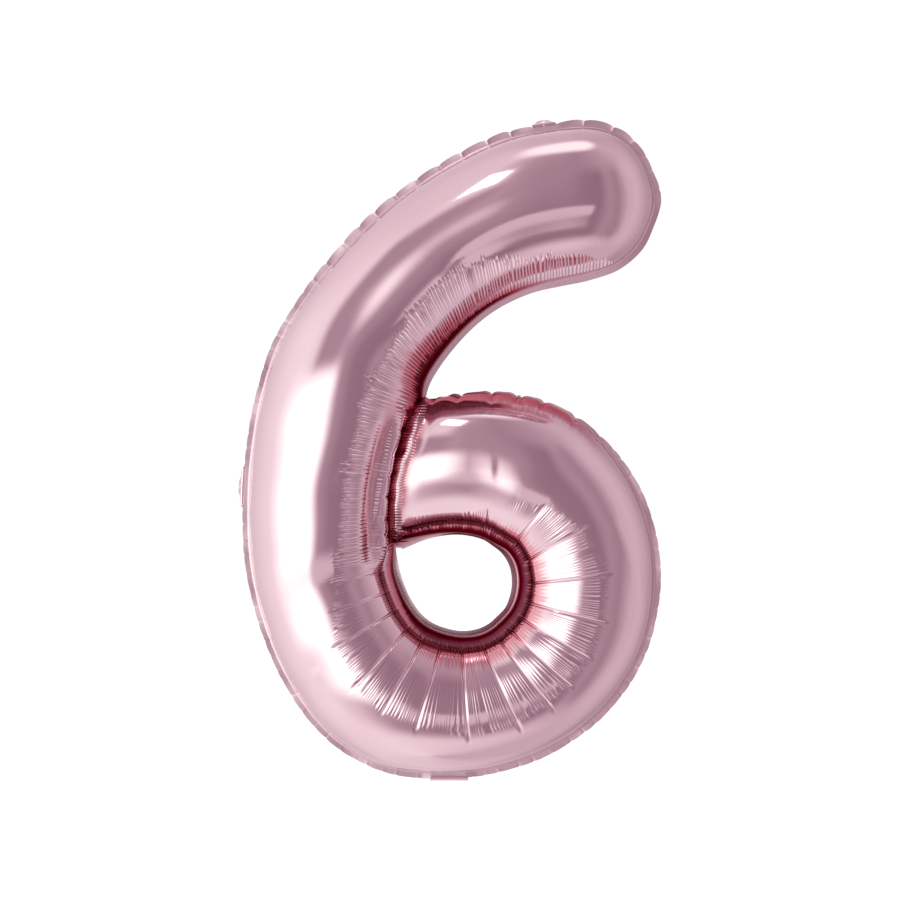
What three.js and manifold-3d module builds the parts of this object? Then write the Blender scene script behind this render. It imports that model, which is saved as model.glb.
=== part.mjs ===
// Foil balloon in the form of the numeral 6, inflated, with its tail folded back.
// Millimetres. +X right, +Z up, the front faces -Y. The welded seam lies in the plane y = 0
// and the origin is the middle of the neck, at the bottom edge of the weld.

import * as THREE from 'three';
import { mergeVertices } from 'three/addons/utils/BufferGeometryUtils.js';
import Module from 'manifold-3d';

const wasm = await Module();
wasm.setup();

// Film and seam
const FILM = 0.8;               // film thickness, thickened so that the shell is a solid
const SEAM_GAP = 0.15;          // half the gap between the two films in the weld
const WELD_MARGIN = 9;          // flat welded band outside the inflated tube
const FULLNESS = 0.92;          // depth of the tube over its width
const ARCH_STEPS = 9;           // facets across the tube
const ARM_STEP = 0.5;           // facets along the arm and the stem, in stations
const FINE_STEP = 0.25;         // the same in the rounded tip and round the bowl
const CLOSING = 2.2;            // stations over which the bowl closes on the cleft
const BLUNTNESS = 2.4;          // how squarely it closes: 2 is an ellipse
const CLEFT_LAP = 4;            // how far the cleft's weld strip reaches into each side
const STRIP = 0.7;              // thickness of the cleft's weld strip

// Neck, valve and tail
const NECK_HALF = 22;           // half the neck's clear width, where the films aren't welded
const NECK_FADE = 16;           // length over which the neck closes down to the weld
const NECK_GAP = 1.1;           // half the gap between the films in the neck
const BOTTOM_EDGE = 20;         // below this height the outer edge is the bottom one
const VALVE_PLY = 0.6;
const VALVE_WIDTH = 38;
const VALVE_TIP_WIDTH = 30;
const VALVE_LENGTH = 106;
const VALVE_CORNER = 6;
const TAIL_WIDTH = 50;
const TAIL_LENGTH = 66;
const TAIL_CORNER = 5;
const TAIL_FOLD_Z = -4.4;       // the fold line, under the bottom edge
const TAIL_ROOT = 1.6;          // from the fold line to the plies' solid
const PLY_GAP = 0.3;            // gap between the tail's two plies

// Hanging tabs: station on the outer edge, width at the root, head radius, height, fold back
const TAB_HOLE_RADIUS = 3.5;
const TAB_HOLE_RISE = 9;        // from the fold line to the hole's centre
const TAB_OUT = 1.3;            // from the weld's edge out to the fold line
const TAB_ROOT = 0.4;           // from the fold line to the tab's solid
const TOP_TAB = { station: 5.14, base: 32, head: 9, rise: 17.5, fold: 68 };
const SIDE_TAB = { station: 14.93, base: 52, head: 10, rise: 17, fold: 74 };

const FOIL = { color: 0xd9a3ac, roughness: 0.16, metalness: 1.0 };
const VALVE = { color: 0xe6e9ea, roughness: 0.35, metalness: 0.0 };

// The edge of the film, as pairs of points facing each other across the tube:
// [inner x, inner z, outer x, outer z]. They start behind the arm's tip, go down the stem,
// round the counter and the bowl, and end where the bowl meets the stem at the cleft.
const TIP = [276, 750];
const STATIONS = [
  [264, 710, 263, 793],
  [250, 684, 248, 819],
  [221, 659, 220, 842],
  [183, 646, 181, 853],
  [147, 638, 131, 848],
  [105, 628, 73, 837],
  [66, 610, 17, 812],
  [34, 586, -38, 779],
  [8, 559, -95, 736],
  [-12, 533, -147, 683],
  [-25, 510, -193, 625],
  [-32, 485, -229, 565],
  [-42, 448, -251, 497],
  [-51, 409, -263, 432],
  [-60, 370, -268, 373],
  [-66, 331, -268, 316],
  [-69, 298, -264, 270],
  [-65, 273, -256, 230],
  [-58, 250, -243, 187],
  [-49, 230, -221, 134],
  [-36, 212, -175, 65],
  [-22, 201, -124, 24],
  [-4, 194, -66, 2],
  [16, 190, 30, 0],
  [36, 192, 113, 21],
  [51, 199, 167, 51],
  [62, 209, 201, 79],
  [73, 221, 238, 125],
  [79, 235, 265, 187],
  [82, 252, 275, 276],
  [79, 273, 250, 373],
  [69, 290, 193, 448],
  [57, 300, 136, 485],
  [43, 309, 67, 501],
  [12, 315, 17, 499],
  [-25, 310, -12, 494],
  [-61, 296, -23, 489],
];
const LAST = STATIONS.length;
const CLEFT_FROM = 12;          // first and last stations whose inner edge lies on the cleft
const CLEFT_TO = 17;

const edge = new THREE.CatmullRomCurve3([
  ...STATIONS.map(([x, z]) => new THREE.Vector3(x, 0, z)).reverse(),
  new THREE.Vector3(TIP[0], 0, TIP[1]),
  ...STATIONS.map(([, , x, z]) => new THREE.Vector3(x, 0, z)),
]);

// A point on the film's edge and the seam point inside it. side is -1 inner, 1 outer.
function seamAt(station, side) {
  const t = (LAST + side * station) / (2 * LAST);
  const rim = edge.getPoint(t);
  const along = edge.getTangent(t);
  const inward = new THREE.Vector3(-along.z, 0, along.x);
  return { rim, seam: rim.clone().addScaledVector(inward, WELD_MARGIN) };
}

function fade(value) {
  const v = THREE.MathUtils.clamp(value, 0, 1);
  return v * v * (3 - 2 * v);
}

// Half the gap between the films at a place on the edge: wide in the neck only.
function neckGap(point) {
  const open = point.z > BOTTOM_EDGE ? 0 : 1 - fade((Math.abs(point.x) - NECK_HALF) / NECK_FADE);
  return SEAM_GAP + (NECK_GAP - SEAM_GAP) * open;
}

// How full the tube is: 1 along its length, 0 where the bowl is welded to the stem.
function closing(station) {
  const e = Math.min((LAST - station) / CLOSING, 1);
  return (1 - (1 - e) ** BLUNTNESS) ** (1 / BLUNTNESS);
}

// One cross-section of the front film: its outside, then its inside, from rim to rim.
function section(station) {
  const inner = seamAt(station, -1);
  const outer = seamAt(station, 1);
  const middle = inner.seam.clone().add(outer.seam).multiplyScalar(0.5);
  const across = outer.seam.clone().sub(inner.seam).multiplyScalar(0.5);
  const half = across.length();
  const depth = Math.max(half * FULLNESS - FILM, 0) * closing(station);
  const narrower = half > 0 ? Math.max(1 - FILM / half, 0.5) : 1;
  const gaps = [SEAM_GAP, neckGap(outer.rim)];
  const layer = (skin, shrink) => {
    const at = (p, gap, arch) => new THREE.Vector3(p.x, -(gap + skin + arch), p.z);
    const points = [at(inner.rim, gaps[0], 0)];
    for (let i = 0; i <= ARCH_STEPS; i += 1) {
      const angle = (Math.PI * i) / ARCH_STEPS;
      const place = middle.clone().addScaledVector(across, -shrink * Math.cos(angle));
      const gap = THREE.MathUtils.lerp(gaps[0], gaps[1], i / ARCH_STEPS);
      points.push(at(place, gap, depth * Math.sin(angle)));
    }
    points.push(at(outer.rim, gaps[1], 0));
    return points;
  };
  return [...layer(FILM, 1), ...layer(0, narrower).reverse()];
}

function stationNumbers() {
  const numbers = [];
  for (let s = 0; s <= LAST; s += s < 2 || s >= CLEFT_TO ? FINE_STEP : ARM_STEP) numbers.push(s);
  return numbers;
}

// A closed mesh from its corners and triangles, with flat triangles dropped.
function closedGeometry(corners, triangles) {
  const raw = new THREE.BufferGeometry();
  raw.setAttribute('position', new THREE.Float32BufferAttribute(corners.flatMap((p) => p.toArray()), 3));
  raw.setIndex(triangles);
  const merged = mergeVertices(raw, 1e-4);
  const index = merged.getIndex().array;
  const kept = [];
  for (let i = 0; i < index.length; i += 3) {
    const [a, b, c] = index.slice(i, i + 3);
    if (a !== b && b !== c && c !== a) kept.push(a, b, c);
  }
  merged.setIndex(kept);
  return merged;
}

// The skin through a row of closed sections. It zips shut at the tip and is capped at the end.
function loft(sections) {
  const count = sections[0].length;
  const triangles = [];
  const quad = (a, b, c, d) => triangles.push(a, c, b, a, d, c);
  for (let s = 0; s < sections.length - 1; s += 1) {
    for (let i = 0; i < count; i += 1) {
      const j = (i + 1) % count;
      quad(s * count + i, (s + 1) * count + i, (s + 1) * count + j, s * count + j);
    }
  }
  const end = (sections.length - 1) * count;
  for (let i = 0; i < count / 2 - 1; i += 1) {
    quad(end + i, end + count - 1 - i, end + count - 2 - i, end + i + 1);
  }
  return closedGeometry(sections.flat(), triangles);
}

function toSolid(geometry) {
  const plain = geometry.clone();
  plain.deleteAttribute('normal');
  plain.deleteAttribute('uv');
  const merged = mergeVertices(plain, 1e-4);
  return new wasm.Manifold(new wasm.Mesh({
    numProp: 3,
    vertProperties: new Float32Array(merged.getAttribute('position').array),
    triVerts: new Uint32Array(merged.getIndex().array),
  }));
}

function toGeometry(solid) {
  const mesh = solid.getMesh();
  const geometry = new THREE.BufferGeometry();
  geometry.setAttribute('position', new THREE.Float32BufferAttribute(mesh.vertProperties, 3));
  geometry.setIndex(Array.from(mesh.triVerts));
  return geometry;
}

// A plate of an outline drawn in X and Z, from y = low to y = high.
function plate(shape, low, high) {
  const geometry = new THREE.ExtrudeGeometry(shape, { depth: high - low, bevelEnabled: false, curveSegments: 6 });
  geometry.rotateX(Math.PI / 2);
  geometry.translate(0, high, 0);
  return geometry;
}

// The strip in which the bowl's end is welded to the stem's inner edge.
function cleftStrip() {
  const shifted = (point, x) => new THREE.Vector2(point.x + x, point.z);
  const stem = [];
  for (let s = CLEFT_FROM; s <= CLEFT_TO; s += 1) stem.push(shifted(seamAt(s, -1).rim, -CLEFT_LAP));
  const [low, high] = [seamAt(LAST, -1), seamAt(LAST, 1)];
  const bowl = [low.rim, low.seam, high.seam, high.rim].map((point) => shifted(point, CLEFT_LAP));
  const middle = -SEAM_GAP - FILM / 2;
  return plate(new THREE.Shape([...stem, ...bowl]), middle - STRIP / 2, middle + STRIP / 2);
}

function frontFilm() {
  const shell = toSolid(loft(stationNumbers().map(section)));
  return toGeometry(shell.add(toSolid(cleftStrip())));
}

// The back film is the front one seen in the seam plane.
function backFilm() {
  const geometry = frontFilm();
  geometry.scale(1, -1, 1);
  const index = geometry.getIndex().array;
  for (let i = 0; i < index.length; i += 3) [index[i], index[i + 1]] = [index[i + 1], index[i]];
  return geometry;
}

// A strip from y = 0 in X, running up in Z, with rounded corners at its far end.
function strip(width, farWidth, length, corner) {
  const [half, far] = [width / 2, farWidth / 2];
  const shape = new THREE.Shape();
  shape.moveTo(-half, 0);
  shape.lineTo(half, 0);
  shape.lineTo(far, length - corner);
  shape.absarc(far - corner, length - corner, corner, 0, Math.PI / 2, false);
  shape.absarc(corner - far, length - corner, corner, Math.PI / 2, Math.PI, false);
  return shape;
}

function valvePly(side) {
  const near = side * SEAM_GAP;
  const far = side * (SEAM_GAP + VALVE_PLY);
  return plate(strip(VALVE_WIDTH, VALVE_TIP_WIDTH, VALVE_LENGTH, VALVE_CORNER), Math.min(near, far),
    Math.max(near, far));
}

// One ply of the tail, folded back at right angles: the front film's ply is the lower one.
function tailPly(side) {
  const near = -side * (PLY_GAP / 2);
  const far = -side * (PLY_GAP / 2 + FILM);
  const ply = plate(strip(TAIL_WIDTH, TAIL_WIDTH, TAIL_LENGTH - TAIL_ROOT, TAIL_CORNER),
    Math.min(near, far), Math.max(near, far));
  ply.translate(0, 0, TAIL_ROOT);
  ply.rotateX(-Math.PI / 2);
  ply.translate(0, 0, TAIL_FOLD_Z);
  return ply;
}

// An ear: straight flanks from the base to a round head, with a hole to hang it by.
function tabShape({ base, head, rise }) {
  const centre = rise - head;
  const reach = Math.hypot(base / 2, centre);
  const touch = Math.acos(head / reach) + Math.atan2(-centre, base / 2);
  const shape = new THREE.Shape();
  shape.moveTo(-base / 2, TAB_ROOT);
  shape.lineTo(base / 2, TAB_ROOT);
  shape.absarc(0, centre, head, touch, Math.PI - touch, false);
  const hole = new THREE.Path();
  hole.absarc(0, TAB_HOLE_RISE, TAB_HOLE_RADIUS, 0, 2 * Math.PI, true);
  shape.holes.push(hole);
  return shape;
}

function hangingTab(tab) {
  const ear = new THREE.Mesh(plate(tabShape(tab), -FILM, FILM), foil());
  const folded = new THREE.Group();
  folded.rotation.x = -THREE.MathUtils.degToRad(tab.fold);
  folded.add(ear);
  const { rim, seam } = seamAt(tab.station, 1);
  const outward = rim.clone().sub(seam).normalize();
  const root = new THREE.Group();
  root.rotation.y = Math.atan2(outward.x, outward.z);
  root.position.copy(rim).addScaledVector(outward, TAB_OUT);
  root.add(folded);
  return { root, ear };
}

function foil() {
  return new THREE.MeshStandardMaterial(FOIL);
}

function clearFilm() {
  return new THREE.MeshStandardMaterial(VALVE);
}

const balloon = new THREE.Group();

function add(name, geometry, material) {
  const mesh = new THREE.Mesh(geometry, material);
  mesh.name = name;
  balloon.add(mesh);
}

function addTab(name, tab) {
  const { root, ear } = hangingTab(tab);
  ear.name = name;
  balloon.add(root);
}

add('front_film', frontFilm(), foil());
add('back_film', backFilm(), foil());
add('valve_front_ply', valvePly(-1), clearFilm());
add('valve_back_ply', valvePly(1), clearFilm());
add('tail_front_film', tailPly(-1), foil());
add('tail_back_film', tailPly(1), foil());
addTab('top_hang_tab', TOP_TAB);
addTab('side_hang_tab', SIDE_TAB);

export default balloon;
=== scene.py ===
"""Looks of the foil balloon in the form of a 6: two films welded at their edge and inflated.

Metres in Blender; the outline's points are millimetres, as in the CAD source. +X right, +Z up,
the front faces -Y and the weld lies in the plane y = 0.
"""

import math

import bpy
import numpy as np
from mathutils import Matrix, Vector


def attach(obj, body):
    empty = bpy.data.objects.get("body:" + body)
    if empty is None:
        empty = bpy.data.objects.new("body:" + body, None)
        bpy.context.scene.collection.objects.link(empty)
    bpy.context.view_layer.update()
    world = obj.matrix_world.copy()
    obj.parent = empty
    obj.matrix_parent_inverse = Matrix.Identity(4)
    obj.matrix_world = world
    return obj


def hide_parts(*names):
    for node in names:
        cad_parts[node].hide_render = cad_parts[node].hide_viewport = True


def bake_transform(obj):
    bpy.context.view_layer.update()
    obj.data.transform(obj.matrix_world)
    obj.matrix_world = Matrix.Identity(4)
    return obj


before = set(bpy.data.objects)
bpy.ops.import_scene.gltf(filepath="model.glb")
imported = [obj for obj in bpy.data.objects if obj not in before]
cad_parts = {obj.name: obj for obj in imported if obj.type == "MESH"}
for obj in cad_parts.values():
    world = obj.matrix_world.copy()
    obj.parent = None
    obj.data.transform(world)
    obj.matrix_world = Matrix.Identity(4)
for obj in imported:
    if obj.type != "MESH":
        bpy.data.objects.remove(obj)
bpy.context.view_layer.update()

MM = 0.001

# ---------------------------------------------------------------- the outline

# The edge of the film, as pairs of points facing each other across the tube:
# [inner x, inner z, outer x, outer z], from behind the arm's tip to the cleft.
TIP = [276, 750]
STATIONS = [
    [264, 710, 263, 793],
    [250, 684, 248, 819],
    [221, 659, 220, 842],
    [183, 646, 181, 853],
    [147, 638, 131, 848],
    [105, 628, 73, 837],
    [66, 610, 17, 812],
    [34, 586, -38, 779],
    [8, 559, -95, 736],
    [-12, 533, -147, 683],
    [-25, 510, -193, 625],
    [-32, 485, -229, 565],
    [-42, 448, -251, 497],
    [-51, 409, -263, 432],
    [-60, 370, -268, 373],
    [-66, 331, -268, 316],
    [-69, 298, -264, 270],
    [-65, 273, -256, 230],
    [-58, 250, -243, 187],
    [-49, 230, -221, 134],
    [-36, 212, -175, 65],
    [-22, 201, -124, 24],
    [-4, 194, -66, 2],
    [16, 190, 30, 0],
    [36, 192, 113, 21],
    [51, 199, 167, 51],
    [62, 209, 201, 79],
    [73, 221, 238, 125],
    [79, 235, 265, 187],
    [82, 252, 275, 276],
    [79, 273, 250, 373],
    [69, 290, 193, 448],
    [57, 300, 136, 485],
    [43, 309, 67, 501],
    [12, 315, 17, 499],
    [-25, 310, -12, 494],
    [-61, 296, -23, 489],
]
LAST = len(STATIONS)
WELD_MARGIN = 9.0
CLEFT_TUCK = 6.5  # how much of the weld the pillows on both sides of the cleft hide
ROLL_TUCK = 6.0  # how much of it the bowl's rolled end hides
FULLNESS = 0.92  # the tube's depth over its width
CLOSING = 2.3  # stations over which the bowl closes on the cleft
BLUNTNESS = 2.1  # 2 closes it as a circle does, and more is blunter
PER_STATION = 80  # dense samples of the outline between two stations
RIM_BLUR, SEAM_BLUR, VALUE_BLUR = 0.13, 0.5, 0.6  # smoothing, in stations


def gauss(values, sigma):
    """Gaussian blur along the first axis, with the ends carried on in line."""
    reach = int(3 * sigma)
    kernel = np.exp(-0.5 * (np.arange(-reach, reach + 1) / sigma) ** 2)
    kernel /= kernel.sum()
    v = np.atleast_2d(np.asarray(values, float).T)
    head = 2 * v[:, :1] - v[:, reach:0:-1]
    tail = 2 * v[:, -1:] - v[:, -2 : -reach - 2 : -1]
    padded = np.concatenate([head, v, tail], axis=1)
    out = np.array([np.convolve(row, kernel, "valid") for row in padded])
    return out.T if np.ndim(values) > 1 else out[0]


def smooth_line(points, sigma):
    """A blur that gives back most of what it shrinks."""
    once = gauss(points, sigma)
    return 2 * once - gauss(once, sigma)


def centripetal(points, t):
    """The curve through the points, as the CAD draws it: t counts points."""
    p = np.asarray(points, float)
    p = np.vstack([2 * p[0] - p[1], p, 2 * p[-1] - p[-2]])
    k = np.clip(np.floor(t).astype(int), 0, len(points) - 2)
    w = (t - k)[:, None]
    a, b, c, d = p[k], p[k + 1], p[k + 2], p[k + 3]

    def knot(m, n):
        return np.sqrt(np.linalg.norm(n - m, axis=1))[:, None]

    d0, d1, d2 = knot(a, b), knot(b, c), knot(c, d)
    m1 = d1 * ((b - a) / d0 - (c - a) / (d0 + d1) + (c - b) / d1)
    m2 = d1 * ((c - b) / d1 - (d - b) / (d1 + d2) + (d - c) / d2)
    c2 = -3 * b + 3 * c - 2 * m1 - m2
    c3 = 2 * b - 2 * c + m1 + m2
    return b + w * (m1 + w * (c2 + w * c3))


def smoothstep(x, low, high):
    x = np.clip((x - low) / (high - low), 0, 1)
    return x * x * (3 - 2 * x)


def arc_length(points):
    step = np.linalg.norm(np.diff(points, axis=0), axis=1)
    return np.concatenate([[0.0], np.cumsum(step)])


loop = [row[:2] for row in reversed(STATIONS)] + [TIP] + [row[2:] for row in STATIONS]
loop_t = np.linspace(0, 2 * LAST, 2 * LAST * PER_STATION + 1)
rim_line = smooth_line(centripetal(loop, loop_t), RIM_BLUR * PER_STATION)
along = np.gradient(rim_line, axis=0)
along /= np.linalg.norm(along, axis=1)[:, None]
inward = np.stack([-along[:, 1], along[:, 0]], axis=1)

# Most of the weld is hidden in the cleft, where the stem's and the bowl's pillows press together,
# and at the bowl's end, which rolls over it.
inner_station = LAST - loop_t
outer_station = loop_t - LAST
on_cleft = smoothstep(inner_station, 11.0, 12.2) * (1 - smoothstep(inner_station, 17.0, 18.0))
rolled = smoothstep(outer_station, 31.0, 33.0) + smoothstep(inner_station, 31.5, 33.5)
margin = WELD_MARGIN - CLEFT_TUCK * on_cleft - ROLL_TUCK * rolled
seam_line = smooth_line(rim_line + margin[:, None] * inward, SEAM_BLUR * PER_STATION)

# The same lines by station, from the tip (0) to the cleft (LAST).
dense_s = np.linspace(0, LAST, LAST * PER_STATION + 1)
half_way = LAST * PER_STATION
rim = {"in": rim_line[half_way::-1], "out": rim_line[half_way:]}
seam = {"in": seam_line[half_way::-1], "out": seam_line[half_way:]}


def by_station(knots, s):
    """A smooth value along the numeral from a few (station, value) pairs."""
    at, value = np.array(knots, float).T
    fine = np.interp(dense_s, at, value)
    return np.interp(s, dense_s, gauss(fine, VALUE_BLUR * PER_STATION))


# How far out from the inner seam the film is ruffled, as a share of the tube's girth.
ONSET = [
    (0, 0), (2.8, 0), (3.3, 0.18), (4.5, 0.24), (5.5, 0.25), (6.5, 0.3), (7, 0.35), (7.6, 0.39),
    (8.5, 0.41), (10.2, 0.38), (11.3, 0.39), (13, 0.42), (15.8, 0.41), (17.1, 0.43), (18, 0.45),
    (19, 0.48), (20, 0.54), (21, 0.57), (22, 0.57), (23, 0.59), (24, 0.63), (25, 0.64), (26, 0.61),
    (30, 0.6), (31, 0.53), (32, 0.44), (33, 0.36), (34, 0.34), (35, 0.22), (36, 0.12), (37, 0.1),
]

COLUMNS = 1760  # of the mesh, along the numeral
TUBE_ROWS = 50  # across the tube
FLANGE_ROWS = 3  # across each weld margin


def column_stations():
    """Stations of the mesh columns, evenly spaced where the ruffles are."""
    share = 0.25 + 0.25 * smoothstep(by_station(ONSET, dense_s), 0.4, 0.68)
    middle = (seam["in"] + seam["out"]) / 2
    across = (seam["out"] - seam["in"]) / 2
    path = middle - across * np.cos(np.pi * share)[:, None]
    speed = [np.gradient(arc_length(path))]
    speed += [0.3 * np.gradient(arc_length(seam[side])) for side in ("in", "out")]
    total = np.cumsum(gauss(np.max(speed, axis=0), 12))
    total -= total[0]
    return np.interp(np.linspace(0, total[-1], COLUMNS), total, dense_s)


station = column_stations()


def at_columns(line):
    return np.stack([np.interp(station, dense_s, line[:, k]) for k in (0, 1)], axis=1)


rim_in, rim_out = at_columns(rim["in"]), at_columns(rim["out"])
seam_in, seam_out = at_columns(seam["in"]), at_columns(seam["out"])
middle = (seam_in + seam_out) / 2
across = (seam_out - seam_in) / 2
half = np.linalg.norm(across, axis=1)
reach_in, reach_out = arc_length(seam_in), arc_length(seam_out)
onset = by_station(ONSET, station)


def closing(s):
    """How full the tube is, from 1 down to 0 where the bowl ends on the cleft."""
    e = np.minimum((LAST - s) / CLOSING, 1)
    return (1 - (1 - e) ** BLUNTNESS) ** (1 / BLUNTNESS)


def row_shares():
    """Where the mesh rows lie across the tube (0 inner seam, 1 outer), by column.

    They are close together where the ruffles start and beside both seams.
    """
    fine = np.linspace(0, 1, 241)
    shares = np.empty((COLUMNS, TUBE_ROWS))
    for c in range(COLUMNS):
        density = (
            1
            + 2.2 * np.exp(-(((fine - onset[c] + 0.01) / 0.045) ** 2))
            + 2.6 * np.exp(-(((fine - 0.05) / 0.055) ** 2))
            + 1.4 * np.exp(-(((1 - fine) / 0.05) ** 2))
        )
        total = np.concatenate([[0], np.cumsum((density[1:] + density[:-1]) / 2)])
        shares[c] = np.interp(np.linspace(0, total[-1], TUBE_ROWS), total, fine)
    return shares


share = row_shares()

# ---------------------------------------------------------------- ruffles, creases and dents

# Long radial creases of the bowl: station, how far across they run, strength.
CREASES = [
    (18.0, 0.47, 0.8), (19.0, 0.5, 0.9), (20.0, 0.57, 1.0), (21.0, 0.61, 1.2), (22.0, 0.61, 1.2),
    (23.0, 0.63, 1.3), (24.0, 0.68, 1.3), (25.0, 0.69, 1.1), (26.0, 0.66, 1.0), (27.0, 0.65, 1.0),
    (28.0, 0.64, 1.0), (29.0, 0.64, 1.0), (30.0, 0.63, 1.0), (31.0, 0.57, 0.9), (32.0, 0.47, 0.8),
    (33.0, 0.2, 0.3), (34.0, 0.3, 0.7), (35.0, 0.2, 0.5),
]
CREASE_DEPTH = 1.25

# Soft folds of the front film: points (x, z), height (a valley if below 0), width
FRONT_FOLDS = [
    (
        [(-14, 640), (16, 663), (58, 686), (108, 704), (163, 714), (206, 709), (222, 690)],
        -2.4, 15.0,
    ),
    ([(200, 345), (212, 326), (226, 300), (240, 262), (249, 225)], 1.0, 7.0),
    ([(249, 262), (250, 232), (240, 178), (222, 138), (196, 100), (144, 61), (92, 42)], 1.3, 8.0),
    ([(-110, 30), (-88, 24), (-12, 14), (66, 17), (144, 36), (176, 52)], 0.9, 6.0),
    ([(-172, 150), (-176, 120), (-168, 92), (-152, 70)], 0.9, 8.0),
    ([(54, 400), (66, 402), (100, 398), (134, 373)], -0.8, 7.0),
]

RUFFLE_SPACING = 4.5  # mm from one ruffle to the next
RUFFLE_HEIGHT = 0.5
INNER_TEETH, OUTER_TEETH = 3.1, 3.3  # mm from tooth to tooth along the inner and the outer seam
TURN = 6.28  # the range of a random phase, in radians


def wobble(rng, x, length, octaves=3):
    """Smooth one-dimensional noise of about unit size; length is its longest wave."""
    total = np.zeros_like(x, dtype=float)
    for k in range(octaves):
        for _ in range(3):
            wave = length / 2**k * rng.uniform(0.7, 1.4)
            total += np.sin(2 * np.pi * x / wave + rng.uniform(0, TURN)) / 2**k
    return total / 2.4


def per_tooth(rng, tooth, low, high):
    """A random value for each ruffle, carried smoothly from one to the next."""
    values = rng.uniform(low, high, int(tooth.max()) + 3)
    k = np.floor(tooth).astype(int)
    w = tooth - k
    w = w * w * (3 - 2 * w)
    return values[k] * (1 - w) + values[k + 1] * w


def groove(x, half_width):
    """A valley with a sharp floor: 1 at x = 0, smoothly 0 from half_width on."""
    e = np.clip(1 - np.abs(x) / half_width, 0, 1)
    return e * e * (3 - 2 * e)


# The bowl's top edge is scalloped from this station on: x of its pinches.
BOWL_TOP = 31.7
SCALLOPS = np.array([-4, 16, 56, 88, 95, 125, 165, 194.0])
SCALLOP_PULL = 2.6


def on_arm(s):
    """1 along the arm, where the outer edge's pinches are far apart and strong."""
    return smoothstep(s, 1.5, 3.0) * (1 - smoothstep(s, 9, 12))


def pucker_places():
    """The outer edge's pinches: mm along the outer seam, strength, length across the tube."""
    rng = np.random.default_rng(17)
    places, u = [], 12.0
    scalloped = np.interp(BOWL_TOP, station, reach_out)
    while u < scalloped:
        arm = float(on_arm(np.interp(u, reach_out, station)))
        places.append([u, rng.uniform(0.5, 1.3) + 0.4 * arm, rng.uniform(9, 19)])
        u += rng.uniform(16, 27) + 11 * arm
    top = station > BOWL_TOP
    for x in SCALLOPS:
        places.append([float(np.interp(-x, -seam_out[top, 0], reach_out[top])), 1.7, 22.0])
    return places


PUCKERS = pucker_places()


def scallops():
    """How far the bowl's top edge is drawn in at each pinch, in mm."""
    near = np.min(np.abs(rim_out[:, :1] - SCALLOPS), axis=1)
    return SCALLOP_PULL * np.clip(1 - near / 10.0, 0, 1) ** 2 * smoothstep(station, 31.5, 32.5)


# Heights where the pillows on both sides of the cleft are pinched, and the line where the
# bowl's end meets the stem.
PINCHES = np.array([297, 317, 337, 366, 393, 421, 450, 474, 500.0])
CLEFT = [
    (-76, 290), (-77, 308), (-78, 335), (-76.5, 359), (-75, 380), (-69.6, 403), (-60, 430),
    (-51, 461), (-43, 484), (-37, 500),
]


def cleft_line(z):
    """x of the cleft at a height."""
    x, height = np.array(CLEFT, float).T
    fine = np.linspace(height[0], height[-1], 200)
    return np.interp(z, fine, gauss(np.interp(fine, height, x), 8))


def pinched(z, half_width):
    """1 at the height of a pinch, 0 from half_width above or below it."""
    return groove(np.min(np.abs(z[..., None] - PINCHES), axis=-1), half_width)


def add_ruffles(rng, height, from_in, flat_in, on_stem, away):
    """Fine ruffles, each starting abruptly at its own place, and teeth by the ring's seam."""
    v = share
    ring = smoothstep(station, 17, 19)
    path = middle - across * np.cos(np.pi * (0.25 + 0.3 * ring))[:, None]
    run = arc_length(path)
    spacing = RUFFLE_SPACING - 0.5 * ring + 0.25 * wobble(rng, run, 90)
    tooth = np.concatenate([[0], np.cumsum(np.diff(run) / spacing[1:])])
    start = onset + per_tooth(rng, tooth, -0.009, 0.009) + 0.005 * wobble(rng, run, 120)
    strength = per_tooth(rng, tooth, 0.6, 1.2)
    long_ones = (rng.uniform(0, 1, int(tooth.max()) + 3) > 0.9)[np.round(tooth).astype(int)]
    long_ones = gauss(long_ones.astype(float), 1.5)
    stem = 1 - ring
    start = start + 0.02 * long_ones * stem
    strength = strength * (1 + 0.9 * long_ones * stem)
    inside = smoothstep(start[:, None] - v, 0.0, 0.02) * smoothstep(onset[:, None], 0.02, 0.12)
    # a dimple where each ruffle begins, and a calm band in the middle of the bowl's ring
    deep = 1 + 1.1 * np.exp(-(((start[:, None] - v - 0.02) / 0.022) ** 2))
    deep *= 1 - 0.5 * ring[:, None]
    across_ring = v / np.maximum(onset[:, None], 0.05)
    mid_calm = 1 - ring[:, None] * 0.88 * np.exp(-(((across_ring - 0.48) / 0.33) ** 2))
    wander = 0.5 * wobble(rng, run, 60)[:, None] * (v / 0.3)
    wander = wander + 0.12 * wobble(rng, run, 23)[:, None]
    phase = 2 * np.pi * (tooth[:, None] + wander)
    ripple = np.sin(phase) + 0.25 * np.sin(2 * phase + 0.6)
    edge_fade = smoothstep(from_in, 3.0, 11.0)
    taut = 1 - 0.5 * on_stem * np.exp(-(((away - 15) / 10) ** 2))
    size = RUFFLE_HEIGHT * ripple * strength[:, None]
    height += size * inside * deep * mid_calm * edge_fade * taut

    # short teeth beside the ring's inner seam
    phase = 2 * np.pi * reach_in / INNER_TEETH + 2.0 * wobble(rng, reach_in, 40)
    band = np.exp(-(((flat_in - 17) / 5.5) ** 2)) * ring[:, None]
    height += 0.22 * np.sin(phase)[:, None] * band * per_tooth(rng, tooth, 0.3, 1.3)[:, None]


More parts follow.
